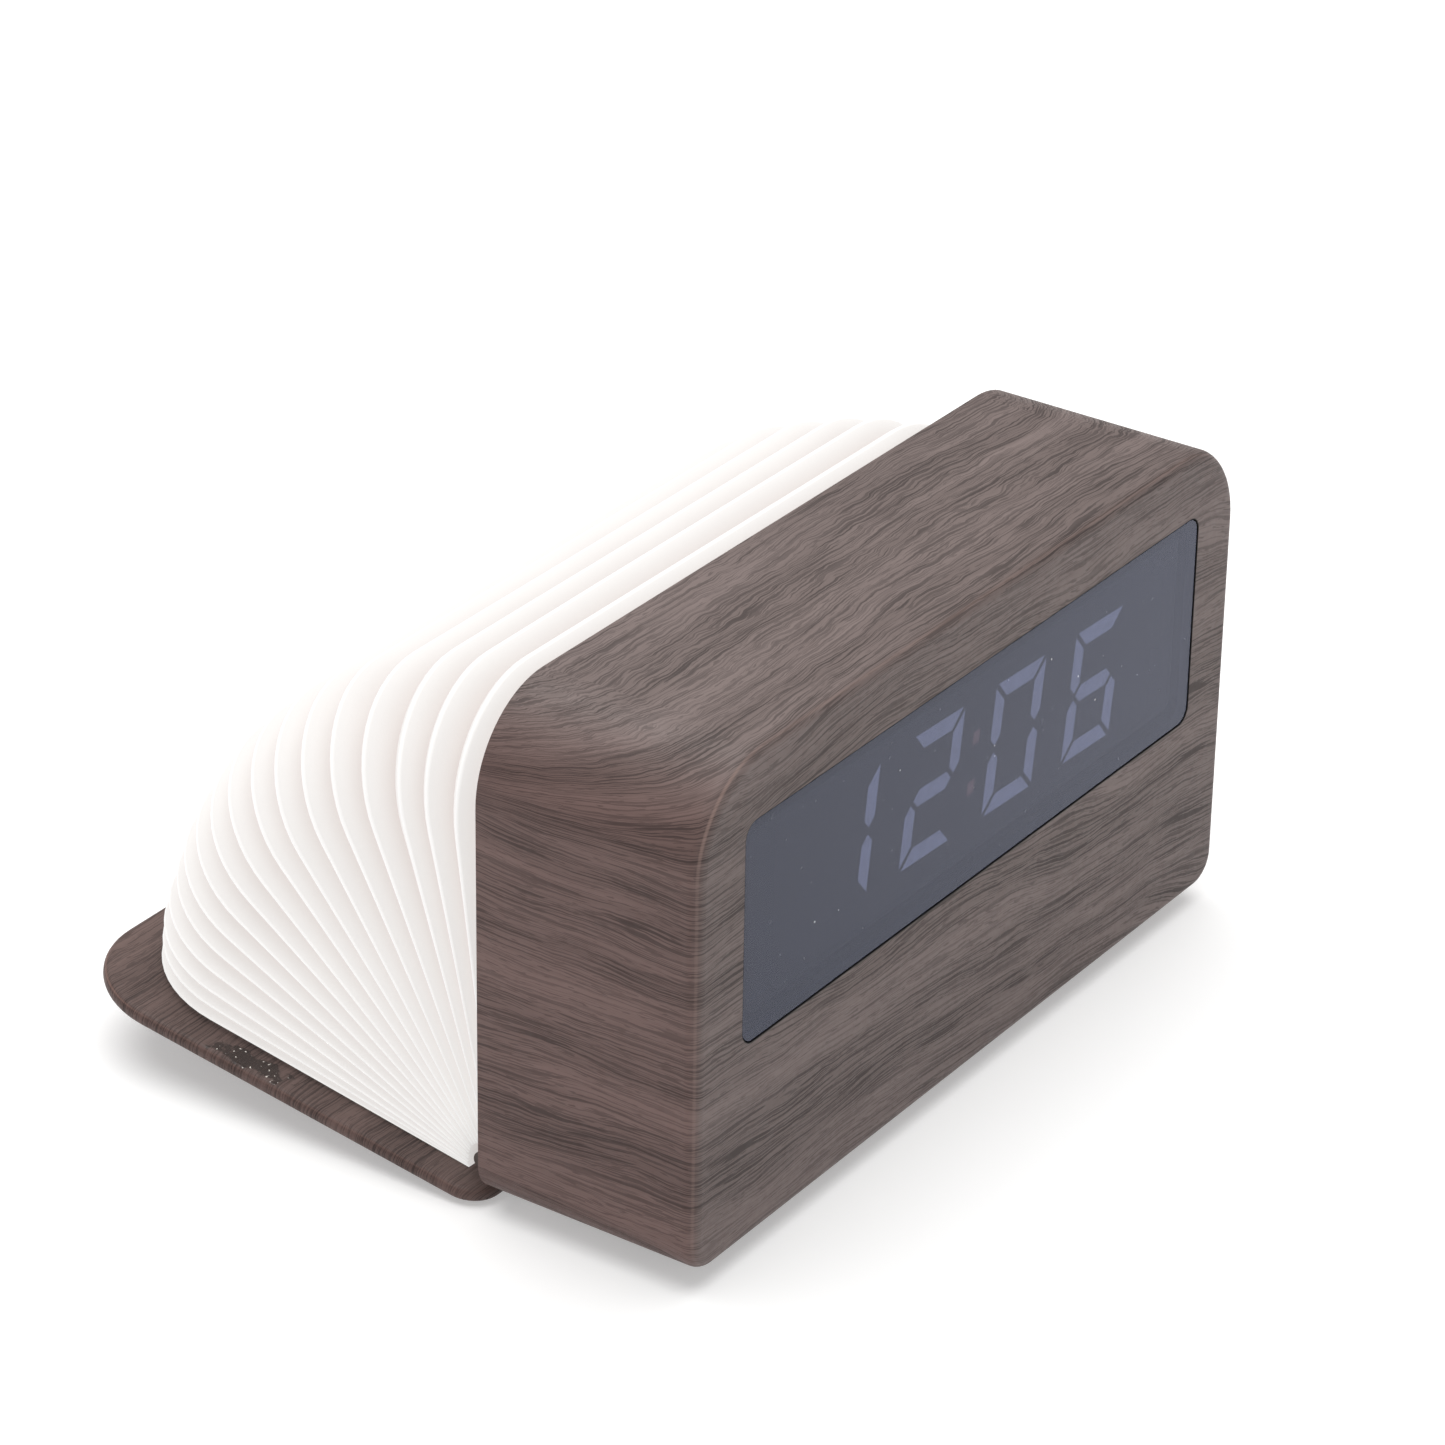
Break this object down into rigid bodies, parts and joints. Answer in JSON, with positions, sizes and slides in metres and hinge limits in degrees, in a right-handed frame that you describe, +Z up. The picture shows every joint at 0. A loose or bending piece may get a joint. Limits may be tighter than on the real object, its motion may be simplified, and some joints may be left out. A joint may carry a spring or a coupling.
{
  "type": "alarm clock with a fold-out paper lamp",
  "caption": "Wood-film digital alarm clock with a smoked display window, opening at the back like a book into a pleated paper lamp.",
  "frame": {"origin": "on the resting plane, under the middle of the clock body, at the middle of the rubber pad", "axes": "+Z up, the display faces -Y, +X to the right of someone facing the display, the cover opens towards +Y"},
  "size_m": [0.182, 0.1465, 0.104],
  "materials": {
    "wood_film": "satin",
    "panel_plastic": "satin",
    "smoked_acrylic": "gloss",
    "black_adhesive": "matte",
    "grey_plastic": "matte",
    "lit_segment": "satin",
    "dark_segment": "satin",
    "colon_plastic": "satin",
    "board_green": "satin",
    "led_chip": "gloss",
    "black_chip": "matte",
    "steel": "satin",
    "tin": "satin",
    "black_plastic": "matte",
    "cream_plastic": "matte",
    "ribbon": "satin",
    "button_brown": "satin",
    "cell_wrap": "satin",
    "red_lead": "satin",
    "black_lead": "satin",
    "white_lead": "satin",
    "white_board": "matte",
    "opal_acrylic": "satin",
    "magnet": "satin",
    "pad_rubber": "matte",
    "paper": "matte"
  },
  "bodies": {
    "clock_body": {"housing_shell": "wood_film", "rear_panel": "panel_plastic", "display_window": "smoked_acrylic", "window_adhesive": "black_adhesive", "display_mask": "grey_plastic", "segments_lit": "lit_segment", "segments_unlit": "dark_segment", "colon_dots": "colon_plastic", "display_board": "board_green", "display_leds": "led_chip", "display_driver": "black_chip", "display_screws": "steel", "main_board": "board_green", "processor": "black_chip", "crystal": "tin", "buzzer": "black_plastic", "cell_holder": "black_plastic", "coin_cell": "steel", "usb_socket": "tin", "board_connectors": "cream_plastic", "main_board_screws": "steel", "button_board": "board_green", "tact_switches": "black_plastic", "button_board_screws": "steel", "battery_cell": "cell_wrap", "battery_cradle": "black_plastic", "battery_contacts": "tin", "battery_lead_red": "red_lead", "battery_lead_black": "black_lead", "lamp_leads": "white_lead", "display_ribbon": "ribbon", "button_ribbon": "ribbon", "lamp_board": "white_board", "lamp_leds": "led_chip", "lamp_diffuser": "opal_acrylic", "lamp_board_screws": "steel", "lid_sensor": "black_chip", "body_magnets": "magnet", "panel_screws": "steel", "hinge_pin": "steel", "rubber_base": "pad_rubber", "paper_bellows": "paper"},
    "cover": {"back_cover": "wood_film", "cover_magnets": "magnet"},
    "set_button": {"set_button": "button_brown"},
    "up_button": {"up_button": "button_brown"},
    "down_button": {"down_button": "button_brown"},
    "lamp_button": {"lamp_button": "button_brown"}
  },
  "joints": [
    {"name": "cover_hinge", "type": "hinge", "parent": "clock_body", "child": "cover", "pos_m": [0, 0.02675, 0.0078], "axis": [1, 0, 0], "range_deg": [-8, 82], "deforming": ["paper_bellows"]},
    {"name": "set_press", "type": "slide", "parent": "clock_body", "child": "set_button", "axis": [-1, 0, 0], "range_m": [0, 0.0006], "stiffness_N_per_m": 2000},
    {"name": "up_press", "type": "slide", "parent": "clock_body", "child": "up_button", "axis": [-1, 0, 0], "range_m": [0, 0.0006], "stiffness_N_per_m": 2000},
    {"name": "down_press", "type": "slide", "parent": "clock_body", "child": "down_button", "axis": [-1, 0, 0], "range_m": [0, 0.0006], "stiffness_N_per_m": 2000},
    {"name": "lamp_press", "type": "slide", "parent": "clock_body", "child": "lamp_button", "axis": [-1, 0, 0], "range_m": [0, 0.0006], "stiffness_N_per_m": 2000}
  ]
}
